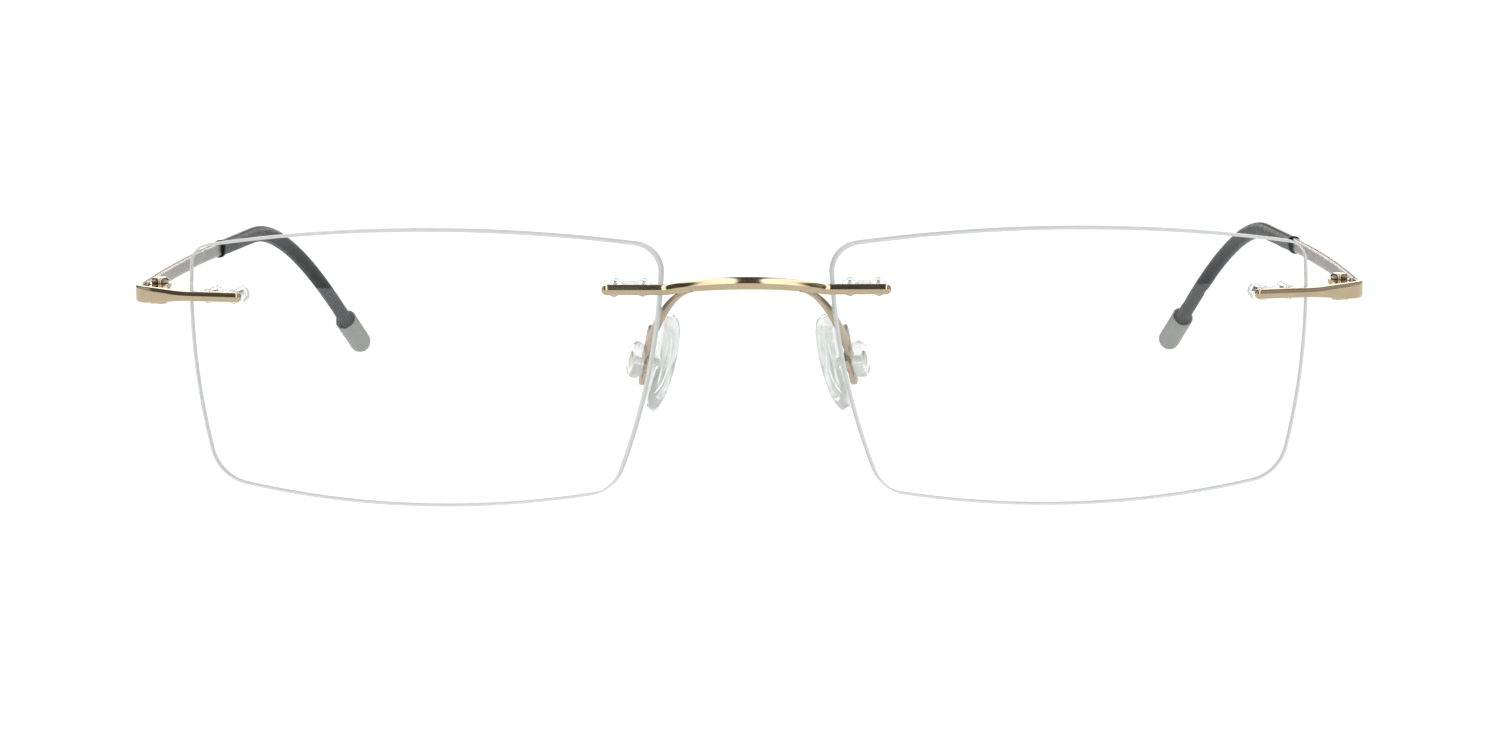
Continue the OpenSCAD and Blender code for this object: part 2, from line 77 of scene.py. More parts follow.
# ---------------------------------------------------------------- dimensions, mm and degrees
LENS_WIDTH, LENS_HEIGHT, LENS_GAP = 54, 31.2, 18.4
LENS_THICKNESS, LENS_CURVE, WRAP_ANGLE = 2.2, 160, 8
LENS_CHAMFER = 0.26
BRIDGE_HEIGHT, BRIDGE_RISE, BRIDGE_BOW, BAR_RADIUS = 24.65, 0.8, 0.9, 0.58
HINGE_HEIGHT, SCREW_RADIUS = 23.35, 0.5
TEMPLE_STRAIGHT, BEND_RADIUS, BEND_ANGLE, TIP_INWARD = 83.5, 74, 35.5, 13.3
SLEEVE_START, CAP_LENGTH, CAP_RADIUS = 61, 7.9, 1.5
HINGE_FLARE, SLEEVE_INWARD, BOW_START = 0.7, 3.55, 8
PAD_HEIGHT, PAD_WIDTH, PAD_SPLAY, PAD_OPEN = 11.2, 6.6, 11, 16
NASAL_X, NASAL_PITCH, TEMPORAL_X, TEMPORAL_PITCH = -23.45, 3.2, 23.13, 3.1
HOLE_RADIUS, POST_RADIUS, BAR_GAP = 0.82, 0.5, 0.2
STRIP_HALF, STRIP_RISE, CORNER_RADIUS = 0.38, 0.95, 2.8
KNUCKLE_RADIUS, NECK_START, START_SLOPE, FRAME_WIDTH = 1.3, 3.5, 1.2, 138.8

half_width, half_height = LENS_WIDTH / 2, LENS_HEIGHT / 2


def sin(degrees):
    """Sine of an angle in degrees."""
    return math.sin(math.radians(degrees))


def cos(degrees):
    """Cosine of an angle in degrees."""
    return math.cos(math.radians(degrees))


def smooth(t):
    """Smooth step from 0 to 1."""
    t = min(max(t, 0), 1)
    return t * t * (3 - 2 * t)


def sag(x, z, radius=LENS_CURVE):
    """Depth of a sphere's surface behind its apex."""
    return radius - math.sqrt(radius * radius - x * x - z * z)


lens_x = LENS_GAP / 2 + half_width * cos(WRAP_ANGLE) + (sag(half_width, 0) + LENS_THICKNESS) * sin(WRAP_ANGLE)


def on_front(x, z):
    """Point on the front surface of the lens, in the drawing frame."""
    depth = sag(x, z - half_height)
    return Vector((lens_x + x * cos(WRAP_ANGLE) - depth * sin(WRAP_ANGLE),
                   x * sin(WRAP_ANGLE) + depth * cos(WRAP_ANGLE), z))


nasal_point = on_front(NASAL_X, BRIDGE_HEIGHT)
temporal_point = on_front(TEMPORAL_X, HINGE_HEIGHT)
temporal_turn = WRAP_ANGLE + math.degrees(math.asin(TEMPORAL_X / LENS_CURVE))
side_x = FRAME_WIDTH / 2 - STRIP_HALF
bar_offset = BAR_GAP + BAR_RADIUS
bar_point = temporal_point + bar_offset * Vector((sin(temporal_turn), -cos(temporal_turn), 0))
bar_end = side_x - CORNER_RADIUS * (1 - sin(temporal_turn))
bar_inner = TEMPORAL_PITCH / 2 + 1.25
straight_length = (bar_end - bar_point.x) / cos(temporal_turn)
corner_y = bar_point.y + straight_length * sin(temporal_turn)
corner_centre = Vector((bar_end - CORNER_RADIUS * sin(temporal_turn),
                        corner_y + CORNER_RADIUS * cos(temporal_turn), HINGE_HEIGHT))
split_y = corner_centre.y + 1.3
axis = Vector((side_x - 1.95, split_y + 2, 0))
lug_bottom, lug_top = HINGE_HEIGHT - 1.4, HINGE_HEIGHT + 0.72
leaf_bottom, leaf_top = HINGE_HEIGHT - 0.68, HINGE_HEIGHT + 0.1
WASHER_HEIGHT, WASHER_GAP = 0.1, 0.03

temple_y = split_y + 0.15
drop = HINGE_HEIGHT - 0.05
arc_length = BEND_RADIUS * math.radians(BEND_ANGLE)
tip_straight = (drop - CAP_RADIUS - TEMPLE_STRAIGHT * sin(START_SLOPE)
                - BEND_RADIUS * (cos(START_SLOPE) - cos(START_SLOPE + BEND_ANGLE))
                ) / sin(START_SLOPE + BEND_ANGLE)
temple_length = TEMPLE_STRAIGHT + arc_length + tip_straight
cap_mouth = temple_length + CAP_RADIUS - CAP_LENGTH
front_y = nasal_point.y - bar_offset - BRIDGE_BOW - 0.62
shift_y = cad_box[0][1] / MM - front_y


def tan(degrees):
    """Tangent of an angle in degrees."""
    return math.tan(math.radians(degrees))


def come_in(s):
    """How far the temple has come in: straight, bowed up to the sleeve, straight."""
    start, end, length = -tan(HINGE_FLARE), tan(SLEEVE_INWARD), SLEEVE_START - BOW_START
    u = min(max(s - BOW_START, 0), length)
    return start * s + (end - start) * (u * u / (2 * length) + max(s - SLEEVE_START, 0))


def temple_at(s):
    """Temple centre line at a distance s from its front end."""
    start, end = START_SLOPE, START_SLOPE + BEND_ANGLE
    u = min(s, TEMPLE_STRAIGHT)
    v = min(max(s - TEMPLE_STRAIGHT, 0), arc_length)
    w = max(s - TEMPLE_STRAIGHT - arc_length, 0)
    turn = start + math.degrees(v / BEND_RADIUS)
    growth = (tan(TIP_INWARD) - tan(SLEEVE_INWARD)) / arc_length
    return Vector((side_x - come_in(s) - growth * v * v / 2 - growth * arc_length * w,
                   temple_y + u * cos(start) + BEND_RADIUS * (sin(turn) - sin(start)) + w * cos(end),
                   drop - u * sin(start) - BEND_RADIUS * (cos(start) - cos(turn)) - w * sin(end)))


# ---------------------------------------------------------------- local frames
def at(point, *turns):
    """Frame at a point, turned by (degrees, axis) pairs, the last one applied first."""
    matrix = Matrix.Translation(point)
    for degrees, name in turns:
        matrix = matrix @ Matrix.Rotation(math.radians(degrees), 4, name)
    return matrix


lens_frame = at((lens_x, 0, half_height), (WRAP_ANGLE, "Z"))
nasal_frame = at(nasal_point)
temporal_frame = at(temporal_point, (temporal_turn, "Z"))
temple_frame = at((side_x, temple_y, drop), (-HINGE_FLARE, "Z"), (-START_SLOPE, "X"))
pad_frame = at((9.6, 8.2, 15.2), (-PAD_OPEN, "Z"), (-PAD_SPLAY, "Y"))
pad_axis_frame = pad_frame @ Matrix.Rotation(math.radians(90), 4, "Y")
tip_point = temple_at(temple_length)
tip_back = temple_at(temple_length - 3) - tip_point
tip_frame = Matrix.Translation(tip_point) @ tip_back.to_track_quat("Z", "X").to_matrix().to_4x4()
axis_frame = Matrix.Translation(axis)


def lying(frame_matrix, x):
    """Frame whose Z runs along a mounting frame's Y, from the point x on its X."""
    return frame_matrix @ Matrix.Translation((x, 0, 0)) @ Matrix.Rotation(math.radians(-90), 4, "X")


# ---------------------------------------------------------------- mesh makers, in millimetres
def new_mesh(verts, faces, matrix=None, indices=None):
    """Mesh with outward normals; indices are the faces' material numbers."""
    mesh = bpy.data.meshes.new("shape")
    mesh.from_pydata([tuple(matrix @ Vector(v)) if matrix else tuple(v) for v in verts], [], faces)
    if indices:
        mesh.polygons.foreach_set("material_index", indices)
    work = bmesh.new()
    work.from_mesh(mesh)
    bmesh.ops.recalc_face_normals(work, faces=work.faces)
    work.to_mesh(mesh)
    work.free()
    return mesh


def bridge_rings(rings, loop=False):
    """Quads that join rings of equal length one to the next."""
    n = len(rings[0])
    last = len(rings) if loop else len(rings) - 1
    quads = []
    for i in range(last):
        here, there = i * n, (i + 1) % len(rings) * n
        quads += [(here + j, here + (j + 1) % n, there + (j + 1) % n, there + j) for j in range(n)]
    return quads


def tube(rings, matrix=None):
    """Closed skin through rings of points."""
    n, count = len(rings[0]), len(rings)
    ends = [tuple(reversed(range(n))), tuple(range((count - 1) * n, count * n))]
    return new_mesh([p for ring in rings for p in ring], bridge_rings(rings) + ends, matrix)


def bulge(v, squareness):
    """Signed power that squares off a circle."""
    return math.copysign(abs(v) ** (2 / squareness), v)


def section(centre, tangent, half_side, half_up, squareness, count):
    """Rounded-square ring across a path, squareness 2 being an ellipse."""
    side = tangent.cross(Vector((0, 0, 1))).normalized()
    up = side.cross(tangent).normalized()
    return [centre + side * half_side * bulge(math.cos(a), squareness)
            + up * half_up * bulge(math.sin(a), squareness)
            for a in (2 * math.pi * j / count for j in range(count))]


def sweep(path, size, squareness, stations, count=32):
    """Closed skin along a path; size gives half width and half height at a station."""
    step = 0.02
    rings = []
    for s in stations:
        tangent = (path(s + step) - path(s - step)).normalized()
        rings.append(section(path(s), tangent, *size(s), squareness(s), count))
    return tube(rings)


def lathe(profile, matrix=None, count=64, loop=False):
    """Solid of revolution about Z through (radius, height) points; loop joins last to first."""
    verts, rows = [], []
    for radius, height in profile:
        steps = 1 if radius < 1e-6 else count
        rows.append([len(verts) + j for j in range(steps)])
        verts += [(radius * math.cos(a), radius * math.sin(a), height)
                  for a in (2 * math.pi * j / steps for j in range(steps))]
    faces = []
    pairs = list(zip(rows, rows[1:])) + ([(rows[-1], rows[0])] if loop else [])
    for a, b in pairs:
        for j in range(count):
            k = (j + 1) % count
            face = [a[j % len(a)], a[k % len(a)], b[k % len(b)], b[j % len(b)]]
            faces.append(tuple(dict.fromkeys(face)))
    return new_mesh(verts, faces, matrix)


def rounded(points, radius, steps=4):
    """A profile with its inner corners rounded off."""
    result = [points[0]]
    for a, b, c in zip(points, points[1:], points[2:]):
        a, b, c = Vector(a), Vector(b), Vector(c)
        cut = min(radius, (a - b).length * 0.48, (c - b).length * 0.48)
        start, end = b + (a - b).normalized() * cut, b + (c - b).normalized() * cut
        for k in range(steps + 1):
            t = k / steps
            result.append(tuple((1 - t) ** 2 * start + 2 * t * (1 - t) * b + t * t * end))
    return result + [points[-1]]


def drum(radius, bottom, top, edge, matrix=None, count=64):
    """Short cylinder with rounded rims."""
    return lathe(rounded([(0, bottom), (radius, bottom), (radius, top), (0, top)], edge), matrix, count)


def block(low, high, edge, matrix=None):
    """Box with rounded edges."""
    work = bmesh.new()
    bmesh.ops.create_cube(work, size=1)
    for v in work.verts:
        v.co = Vector([low[i] if v.co[i] < 0 else high[i] for i in range(3)])
    bmesh.ops.bevel(work, geom=work.edges[:] + work.verts[:], offset=edge, segments=3,
                    affect="EDGES", profile=0.5)
    if matrix:
        work.transform(matrix)
    mesh = bpy.data.meshes.new("shape")
    work.to_mesh(mesh)
    work.free()
    return mesh


def with_modifiers(mesh, setups):
    """The mesh after a list of (modifier type, settings)."""
    work = bpy.data.objects.new("work", mesh)
    bpy.context.collection.objects.link(work)
    for kind, settings in setups:
        modifier = work.modifiers.new(kind.lower(), kind)
        for key, value in settings.items():
            setattr(modifier, key, value)
    graph = bpy.context.evaluated_depsgraph_get()
    result = bpy.data.meshes.new_from_object(work.evaluated_get(graph), depsgraph=graph)
    bpy.data.objects.remove(work)
    return result


def joined(base, others, operation="UNION"):
    """Boolean of a mesh with others."""
    tools = []
    for other in others:
        tool = bpy.data.objects.new("tool", other)
        bpy.context.collection.objects.link(tool)
        tools.append(tool)
    result = with_modifiers(base, [("BOOLEAN", {"operation": operation, "solver": "EXACT", "object": tool})
                                   for tool in tools])
    for tool in tools:
        bpy.data.objects.remove(tool)
    return result


def moulded(mesh, voxel, rounds):
    """Soft moulded version of a mesh, all its corners eased."""
    return with_modifiers(mesh, [("REMESH", {"mode": "VOXEL", "voxel_size": voxel, "use_smooth_shade": True}),
                                 ("SMOOTH", {"factor": 0.5, "iterations": rounds})])


# ---------------------------------------------------------------- materials
def new_material(name, colour, **settings):
    """Principled material; settings are socket names with underscores for spaces."""
    made = bpy.data.materials.new(name)
    made.use_nodes = True
    shader = made.node_tree.nodes["Principled BSDF"]
    shader.inputs["Base Color"].default_value = (*colour, 1)
    for key, value in settings.items():
        shader.inputs[key.replace("_", " ")].default_value = value
    return made


def noise(made, scale, detail=3, stretch=(1, 1, 1)):
    """Noise in the object's own space, scale in cycles per millimetre."""
    nodes, links = made.node_tree.nodes, made.node_tree.links
    place = nodes.new("ShaderNodeTexCoord")
    mapping = nodes.new("ShaderNodeMapping")
    texture = nodes.new("ShaderNodeTexNoise")
    mapping.inputs["Scale"].default_value = [s / MM for s in stretch]
    texture.inputs["Scale"].default_value = scale
    texture.inputs["Detail"].default_value = detail
    links.new(place.outputs["Object"], mapping.inputs["Vector"])
    links.new(mapping.outputs["Vector"], texture.inputs["Vector"])
    return texture.outputs["Fac"]


def vary_colour(made, factor, low, high, span=(0.3, 0.7)):
    """Base colour that runs between two colours as a pattern does."""
    nodes, links = made.node_tree.nodes, made.node_tree.links
    ramp = nodes.new("ShaderNodeValToRGB")
    for element, place, colour in zip(ramp.color_ramp.elements, span, (low, high)):
        element.position, element.color = place, (*colour, 1)
    links.new(factor, ramp.inputs["Fac"])
    links.new(ramp.outputs["Color"], nodes["Principled BSDF"].inputs["Base Color"])


def vary_roughness(made, factor, low, high):
    """Roughness between two values, by a factor."""
    nodes, links = made.node_tree.nodes, made.node_tree.links
    span = nodes.new("ShaderNodeMapRange")
    span.inputs["From Min"].default_value, span.inputs["From Max"].default_value = 0.3, 0.7
    span.inputs["To Min"].default_value, span.inputs["To Max"].default_value = low, high
    links.new(factor, span.inputs["Value"])
    links.new(span.outputs["Result"], nodes["Principled BSDF"].inputs["Roughness"])


def add_bump(made, factor, depth, strength=1.0):
    """Relief of a pattern, depth in millimetres."""
    nodes, links = made.node_tree.nodes, made.node_tree.links
    bump = nodes.new("ShaderNodeBump")
    bump.inputs["Strength"].default_value = strength
    bump.inputs["Distance"].default_value = depth * MM
    links.new(factor, bump.inputs["Height"])
    links.new(bump.outputs["Normal"], nodes["Principled BSDF"].inputs["Normal"])


def gold(name, light, dark, rough, grain):
    """Plated gold with faint cloudiness and fine polishing grain."""
    made = new_material(name, light, Metallic=1.0)
    vary_colour(made, noise(made, 0.35), dark, light)
    vary_roughness(made, noise(made, 1.3, 4, (0.25, 1, 1)), rough * 0.75, rough * 1.25)
    add_bump(made, noise(made, grain, 2, (0.15, 1, 1)), 0.002, 0.35)
    return made


def clear(name, colour, ior, rough=0.0, share=1.0, shine=0.5, glow=0.0):
    """Clear plastic; share is how much passes through, and glow is emission: painted light that stands in for
    light gathered at an edge.
    """
    return new_material(name, colour, IOR=ior, Roughness=rough, Transmission_Weight=share,
                        Specular_IOR_Level=shine, Emission_Color=(0.93, 0.97, 0.95, 1),
                        Emission_Strength=glow)


polished_gold = gold("polished_gold", (0.49, 0.40, 0.27), (0.45, 0.365, 0.242), 0.07, 2.5)
hinge_gold = gold("hinge_gold", (0.40, 0.325, 0.235), (0.34, 0.275, 0.195), 0.17, 3.5)
pad_arm_gold = gold("pad_arm_gold", (0.42, 0.34, 0.245), (0.36, 0.29, 0.205), 0.24, 4)
screw_gold = gold("screw_metal", (0.44, 0.36, 0.255), (0.38, 0.305, 0.21), 0.14, 5)
core_metal = gold("pad_core_metal", (0.66, 0.60, 0.50), (0.58, 0.52, 0.43), 0.16, 5)

washer_steel = new_material("washer_metal", (0.42, 0.42, 0.41), Metallic=1.0)
vary_roughness(washer_steel, noise(washer_steel, 4), 0.25, 0.45)

temple_face = new_material("temple_metal", (0.42, 0.42, 0.40), Metallic=1.0)
vary_colour(temple_face, noise(temple_face, 0.5, 3, (1, 0.3, 1)), (0.25, 0.25, 0.24), (0.31, 0.31, 0.295))
vary_roughness(temple_face, noise(temple_face, 2, 3, (1, 0.15, 1)), 0.38, 0.5)
add_bump(temple_face, noise(temple_face, 9, 3), 0.004, 0.5)
temple_edge = gold("temple_edge_metal", (0.29, 0.24, 0.20), (0.23, 0.19, 0.16), 0.3, 4)

lens_clear = clear("clear_lens", (1.0, 1.0, 1.0), 1.5)
# stand-in for a ground lens edge lit from inside the lens: pale, opaque and faintly glowing; the glow on wall
# and chamfer is painted light, not a lamp
lens_wall = clear("clear_lens_wall", (0.27, 0.29, 0.28), 1.5, 0.5, 0, 0.15, 0.26)
vary_roughness(lens_wall, noise(lens_wall, 3), 0.42, 0.55)
lens_chamfer = clear("clear_lens_chamfer", (0.31, 0.335, 0.325), 1.5, 0.4, 0, 0.2, 0.36)
vary_roughness(lens_chamfer, noise(lens_chamfer, 3), 0.35, 0.48)
plug_clear = clear("clear_plug", (0.93, 0.95, 0.93), 1.3, 0.08, 0.7)
add_bump(plug_clear, noise(plug_clear, 0.9, 2), 0.05, 0.5)
pad_clear = clear("clear_pad", (0.92, 0.95, 0.94), 1.25, 0.1, 0.76)
add_bump(pad_clear, noise(pad_clear, 0.5, 2), 0.06, 0.5)
insert_clear = clear("pad_insert_clear", (0.93, 0.96, 0.96), 1.12)

sleeve_dark = new_material("dark_sleeve", (0.03, 0.036, 0.039), IOR=1.4, Specular_IOR_Level=0.06)
vary_colour(sleeve_dark, noise(sleeve_dark, 0.25), (0.015, 0.0215, 0.0225), (0.024, 0.0325, 0.034))
vary_roughness(sleeve_dark, noise(sleeve_dark, 1.2, 4), 0.3, 0.42)
add_bump(sleeve_dark, noise(sleeve_dark, 6, 3), 0.006, 0.4)

cap_satin = new_material("satin_cap", (0.33, 0.34, 0.325), Metallic=0.6)
vary_colour(cap_satin, noise(cap_satin, 5, 4), (0.20, 0.21, 0.20), (0.30, 0.31, 0.295), (0.35, 0.65))
vary_roughness(cap_satin, noise(cap_satin, 3), 0.42, 0.56)
add_bump(cap_satin, noise(cap_satin, 9, 3), 0.008, 0.6)


# ---------------------------------------------------------------- pieces
def body_of(node):
    """The body that carries a CAD node."""
    parent = frame["nodes"][node].parent
    return next(name for name, empty in frame["bodies"].items() if empty is parent)


def add_piece(name, mesh, body, slot, materials, left=False, replaces=(), sharp=40, flats=False, shadow=True):
    """Puts a millimetre mesh into the row frame as a piece that rides on a body."""
    mesh = mesh.copy()
    flip = Matrix.Diagonal((-1 if left else 1, 1, 1, 1))
    mesh.transform(Matrix.Scale(MM, 4) @ flip @ Matrix.Translation((0, shift_y, 0)))
    if left:
        mesh.flip_normals()
    while len(mesh.materials) > len(materials):
        mesh.materials.pop()
    for index, made in enumerate(materials):  # clear() would also wipe the face indices
        if index < len(mesh.materials):
            mesh.materials[index] = made
        else:
            mesh.materials.append(made)
    mesh.shade_smooth()
    mesh.set_sharp_from_angle(angle=math.radians(sharp))
    piece = bpy.data.objects.new(name, mesh)
    bpy.context.collection.objects.link(piece)
    if flats:
        piece.modifiers.new("weights", "WEIGHTED_NORMAL").keep_sharp = True
    piece.visible_shadow = shadow
    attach(piece, body)
    if replaces:
        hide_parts(*replaces)
    return piece


def add_pair(part, mesh, slot, materials, suffix="fine", replace=True, host=None, **options):
    """The same piece on the right as drawn and on the left mirrored."""
    for side in ("left", "right"):
        node = f"{side}_{part}"
        add_piece(f"{side}_{part}_{suffix}", mesh, body_of(f"{side}_{host or part}"), slot, materials,
                  left=side == "left", replaces=(node,) if replace else (), **options)


# Lens outline: four wide arcs joined by corner arcs, in the lens frame, about its centre.
OUTLINE_SIDES = [((half_width - 82, 9.1), 82), ((-1.8, half_height - 173), 173),
                 ((70.5 * cos(8) - half_width + 0.63, 4 + 70.5 * sin(8)), 70.5),
                 ((-0.7, 117.5 - half_height), 117.5)]
OUTLINE_CORNERS = [2.4, 3.4, 4.4, 5]
OUTLINE_WAYS = [(1, 1), (-1, 1), (-1, -1), (1, -1)]


def crossing(a, ra, b, rb, way):
    """The crossing of two circles that lies furthest in a given direction."""
    d = (b - a).length
    u = (b - a) / d
    k = (ra * ra - rb * rb + d * d) / (2 * d)
    h = math.sqrt(ra * ra - k * k)
    both = [a + k * u + sign * h * Vector((-u.y, u.x)) for sign in (1, -1)]
    return max(both, key=lambda p: p.dot(way))


def lens_outline(side_steps=30, corner_steps=12):
    """Points and outward normals around the lens."""
    sides = [(Vector(c), r) for c, r in OUTLINE_SIDES]
    centres = [crossing(sides[i][0], sides[i][1] - OUTLINE_CORNERS[i], sides[(i + 1) % 4][0],
                        sides[(i + 1) % 4][1] - OUTLINE_CORNERS[i], Vector(OUTLINE_WAYS[i]))
               for i in range(4)]

    def heading(v):
        return math.atan2(v.y, v.x)

    points = []
    for i in range(4):
        centre, radius = sides[i]
        start = heading(centres[i - 1] - centre)
        end = heading(centres[i] - centre)
        end += 2 * math.pi if end < start else 0
        turn = heading(centres[i] - sides[(i + 1) % 4][0])
        turn += 2 * math.pi if turn < end else 0
        for origin, r, a, b, steps in ((centre, radius, start, end, side_steps),
                                       (centres[i], OUTLINE_CORNERS[i], end, turn, corner_steps)):
            for k in range(steps):
                angle = a + (b - a) * k / steps
                normal = Vector((math.cos(angle), math.sin(angle)))
                points.append((origin + r * normal, normal))
    return points


def lens_mesh():
    """Meniscus lens with a ground safety chamfer front and back, and its four screw holes."""
    outline = lens_outline()
    back_radius = LENS_CURVE - LENS_THICKNESS

    def front(x, z):
        return sag(x, z)

    def back(x, z):
        return LENS_THICKNESS + sag(x, z, back_radius)

    rings = []
    face_rings = 9

    def ring(inset, scale, depth):
        points = []
        for point, normal in outline:
            x, z = (point - normal * inset) * scale
            points.append((x, depth(x, z), z))
        rings.append(points)

    for k in range(1, face_rings + 1):
        ring(LENS_CHAMFER, k / face_rings, front)
    ring(0.02, 1, lambda x, z: front(x, z) + LENS_CHAMFER - 0.03)
    ring(0, 1, lambda x, z: front(x, z) + LENS_CHAMFER)
    ring(0, 1, lambda x, z: back(x, z) - LENS_CHAMFER)
    ring(0.02, 1, lambda x, z: back(x, z) - LENS_CHAMFER + 0.03)
    for k in range(face_rings, 0, -1):
        ring(LENS_CHAMFER, k / face_rings, back)
    n = len(outline)
    verts = [p for points in rings for p in points] + [(0, front(0, 0), 0), (0, back(0, 0), 0)]
    faces = bridge_rings(rings)
    wall, chamfers = range(face_rings, face_rings + 3), (face_rings - 1, face_rings + 3)
    bands = [1 if i in wall else 2 if i in chamfers else 0 for i in range(len(rings) - 1) for _ in range(n)]
    last = (len(rings) - 1) * n
    faces += [(n * len(rings), (j + 1) % n, j) for j in range(n)]
    faces += [(n * len(rings) + 1, last + j, last + (j + 1) % n) for j in range(n)]
    bands += [0] * (2 * n)
    mesh = new_mesh(verts, faces, lens_frame, bands)
    for _ in range(3):  # empty slots, so that the cut keeps the bands' material numbers
        mesh.materials.append(None)
    hole = [(0, -3), (HOLE_RADIUS, -3), (HOLE_RADIUS, 6), (0, 6)]
    mounts = ((nasal_frame, NASAL_PITCH), (temporal_frame, TEMPORAL_PITCH))
    holes = [lathe(hole, lying(mount, sign * pitch / 2), 48) for mount, pitch in mounts for sign in (-1, 1)]
    return joined(mesh, holes, "DIFFERENCE")


def plug_mesh(mount, pitch):
    """Two flanged sleeves joined by a plate behind the lens, as soft clear moulding."""
    back = LENS_THICKNESS + 0.1
    sleeve = HOLE_RADIUS - 0.02
    profile = rounded([(0, 0.15), (sleeve, 0.15), (sleeve, back), (0.97, back), (0.97, back + 0.82),
                       (0, back + 0.95)], 0.12)
    knobs = [lathe(profile, lying(mount, sign * pitch / 2), 40) for sign in (-1, 1)]
    plate = block((-pitch / 2, back, -0.62), (pitch / 2, back + 0.6, 0.62), 0.1, mount)
    solid = joined(plate, knobs)
    bores = [lathe([(0, -1), (POST_RADIUS + 0.02, -1), (POST_RADIUS + 0.02, back + 0.55), (0, back + 0.55)],
                   lying(mount, sign * pitch / 2), 40) for sign in (-1, 1)]
    return moulded(joined(solid, bores, "DIFFERENCE"), 0.07, 4)


def posts(mount, pitch):
    """The pair of pins that go from a bar through the lens."""
    length = LENS_THICKNESS + 0.6
    return [drum(POST_RADIUS, -bar_offset, length, 0.1, lying(mount, sign * pitch / 2), 32)
            for sign in (-1, 1)]


bridge_half = nasal_point.x + NASAL_PITCH / 2 + 1.4
ARCH_HALF, KNEE, ARCH_END = 7, 8.1, 9.4
ARCH_SLOPE = 1 / (ARCH_HALF / 2 + 1.35 * (KNEE - ARCH_HALF) + 0.85 * (ARCH_END - KNEE))


def arch(x):
    """Share of the rise and bow left at x: a shallow arc, a steeper knee, then flat."""
    x, steep = abs(x), 1.7 * ARCH_SLOPE
    if x < ARCH_HALF:
        return 1 - ARCH_SLOPE * x * x / (2 * ARCH_HALF)
    if x < KNEE:
        v = x - ARCH_HALF
        return 1 - ARCH_SLOPE * (ARCH_HALF / 2 + v) - (steep - ARCH_SLOPE) * v * v / (2 * (KNEE - ARCH_HALF))
    return steep * max(0, ARCH_END - x) ** 2 / (2 * (ARCH_END - KNEE))


def bridge_at(x):
    """Bridge centre line at a distance x from the middle."""
    t = arch(x)
    return Vector((x, nasal_point.y - bar_offset - BRIDGE_BOW * t, BRIDGE_HEIGHT + BRIDGE_RISE * t))


def bridge_size(x):
    """Half depth and half height of the bridge, rounded off at its tips."""
    e = max(0, 1 - (bridge_half - abs(x)) / 0.55)
    c, t = math.sqrt(max(0.004, 1 - e * e)), 1 - smooth(abs(x) / 11)
    return (BAR_RADIUS + 0.04 * t) * c, (BAR_RADIUS + 0.12 * t) * c


def bridge_bar(count=40):
    """The bar of the bridge without its posts."""
    steps = 110
    stations = []
    for k in range(-steps, steps + 1):
        e = abs(k) / steps
        if e > 0.9:
            e = 1 - ((1 - e) / 0.1) ** 2 * 0.1
        stations.append(math.copysign(bridge_half * e, k) if k else 0.0)
    return sweep(bridge_at, bridge_size, lambda x: 2.3, stations, count)


def bridge_mesh():
    """Bridge with its four posts."""
    pins = posts(nasal_frame, NASAL_PITCH)
    flip = Matrix.Diagonal((-1, 1, 1, 1))
    for pin in posts(nasal_frame, NASAL_PITCH):
        pin.transform(flip)
        pin.flip_normals()
        pins.append(pin)
    return joined(bridge_bar(), pins)


# End piece centre line: u runs from its inner tip to the split behind the corner.
bend_start = bar_inner + straight_length
bend_length = CORNER_RADIUS * math.radians(90 - temporal_turn)
end_total = bend_start + bend_length + split_y - corner_centre.y


def end_at(u):
    """End piece centre line: straight bar, round corner, then straight back."""
    if u < bend_start:
        return bar_point + (u - bar_inner) * Vector((cos(temporal_turn), sin(temporal_turn), 0))
    if u < bend_start + bend_length:
        angle = temporal_turn - 90 + math.degrees((u - bend_start) / CORNER_RADIUS)
        return corner_centre + CORNER_RADIUS * Vector((cos(angle), sin(angle), 0))
    return Vector((side_x, corner_centre.y + u - bend_start - bend_length, HINGE_HEIGHT))


def end_size(u):
    """Half thickness and half height, from round bar to flat strip."""
    e = max(0, 1 - u / 0.5)
    c, t = math.sqrt(max(0.005, 1 - e * e)), smooth((u - 6) / 6.5)
    c -= 0.12 * max(0, 1 - (end_total - u) / 0.06)
    return ((1 - t) * BAR_RADIUS + t * STRIP_HALF) * c, ((1 - t) * BAR_RADIUS + t * STRIP_RISE) * c


def hinge_lug(bottom, top):
    """One flat ear of the fixed hinge half: a disc round the screw and its neck."""
    disc = drum(KNUCKLE_RADIUS, bottom, top, 0.07, axis_frame)
    neck = block((axis.x - 1, corner_y + NECK_START, bottom), (axis.x + 0.8, axis.y, top), 0.05)
    return [disc, neck]


def end_piece_mesh():
    """End piece with posts, hinge block and both hinge ears."""
    stations = [0.5 * (k / 10) ** 2 for k in range(11)]
    stations += [0.5 + (end_total - 0.56) * k / 110 for k in range(1, 111)]
    stations += [end_total - 0.03, end_total - 0.01, end_total]
    strip = sweep(end_at, end_size, lambda u: 2.3 + 2.2 * smooth((u - 6) / 6.5), stations, 36)
    block_back = axis.y - KNUCKLE_RADIUS - 0.1
    core = block((axis.x - 1, corner_y + 0.17, HINGE_HEIGHT - STRIP_RISE + 0.1),
                 (axis.x + 0.8, block_back, lug_top), 0.06)
    gap = WASHER_HEIGHT + 2 * WASHER_GAP
    root = block((axis.x - 1, corner_y + NECK_START, lug_bottom),
                 (axis.x + 0.8, block_back, HINGE_HEIGHT), 0.05)
    parts = posts(temporal_frame, TEMPORAL_PITCH) + [core, root]
    parts += hinge_lug(lug_bottom, leaf_bottom - gap) + hinge_lug(leaf_top + gap, lug_top)
    bore = drum(SCREW_RADIUS + 0.01, lug_bottom - 1, lug_top + 1, 0.01, axis_frame, 32)
    return joined(joined(strip, parts), [bore], "DIFFERENCE")


